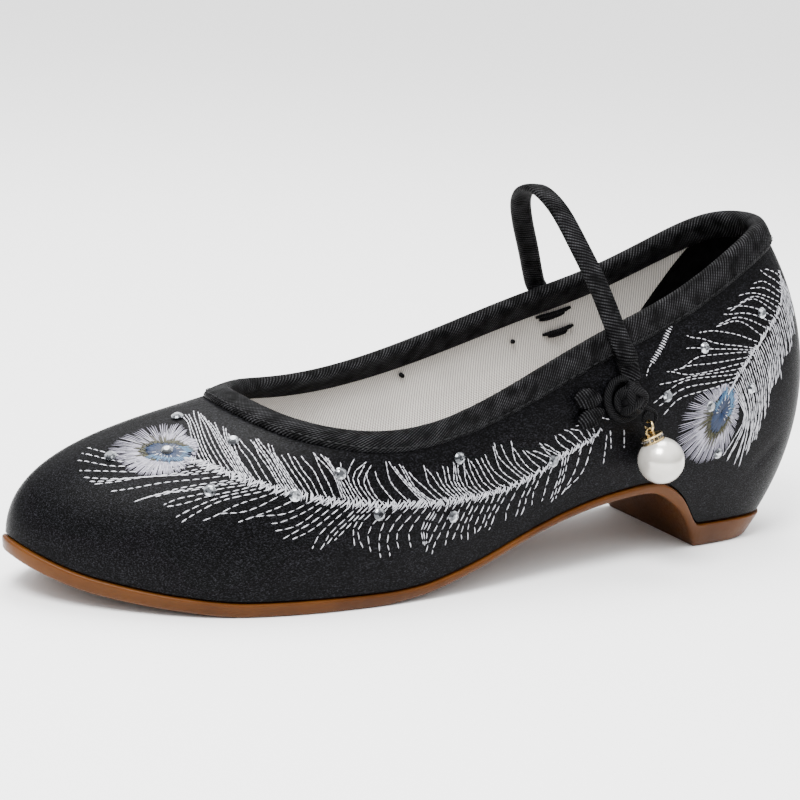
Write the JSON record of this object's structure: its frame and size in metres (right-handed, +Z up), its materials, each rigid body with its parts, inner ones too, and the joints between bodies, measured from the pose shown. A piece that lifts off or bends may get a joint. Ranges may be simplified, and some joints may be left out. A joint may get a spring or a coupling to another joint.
{
  "type": "embroidered silk shoe",
  "caption": "Left court shoe in black satin with a low wrapped heel, folded twill topline binding, instep strap buttoned on a cord knot, and a hanging pearl drop.",
  "frame": {"origin": "centre of the heel's flat face on the floor", "axes": "+X from the toe to the heel, -Y towards the outer side of the foot, +Z up from the floor"},
  "size_m": [0.2436, 0.0828, 0.1046],
  "materials": {
    "rubber": "caramel rubber, slightly translucent",
    "canvas": "off-white canvas",
    "satin": "black satin",
    "twill": "black ribbed twill tape",
    "cord": "black cord",
    "gold": "gold plated, polished",
    "pearl": "white pearl lustre"
  },
  "bodies": {
    "shoe": {"outsole": "rubber", "insole": "canvas", "upper": "satin", "topline_binding": "twill", "strap": "twill", "button_knot": "cord", "bow_lobes": "cord"},
    "ring": {"pearl_ring": "gold"},
    "drop": {"pearl_cap": "gold", "pearl": "pearl"}
  },
  "joints": [
    {"name": "ring_swing", "type": "hinge", "parent": "shoe", "child": "ring", "pos_m": [-0.04191, -0.03465, 0.04197], "axis": [-1, 0, 0], "range_deg": [0, 70]},
    {"name": "pearl_sway", "type": "hinge", "parent": "ring", "child": "drop", "pos_m": [-0.04191, -0.03526, 0.04007], "axis": [0, 0.9524, -0.3047], "range_deg": [-25, 45]}
  ]
}
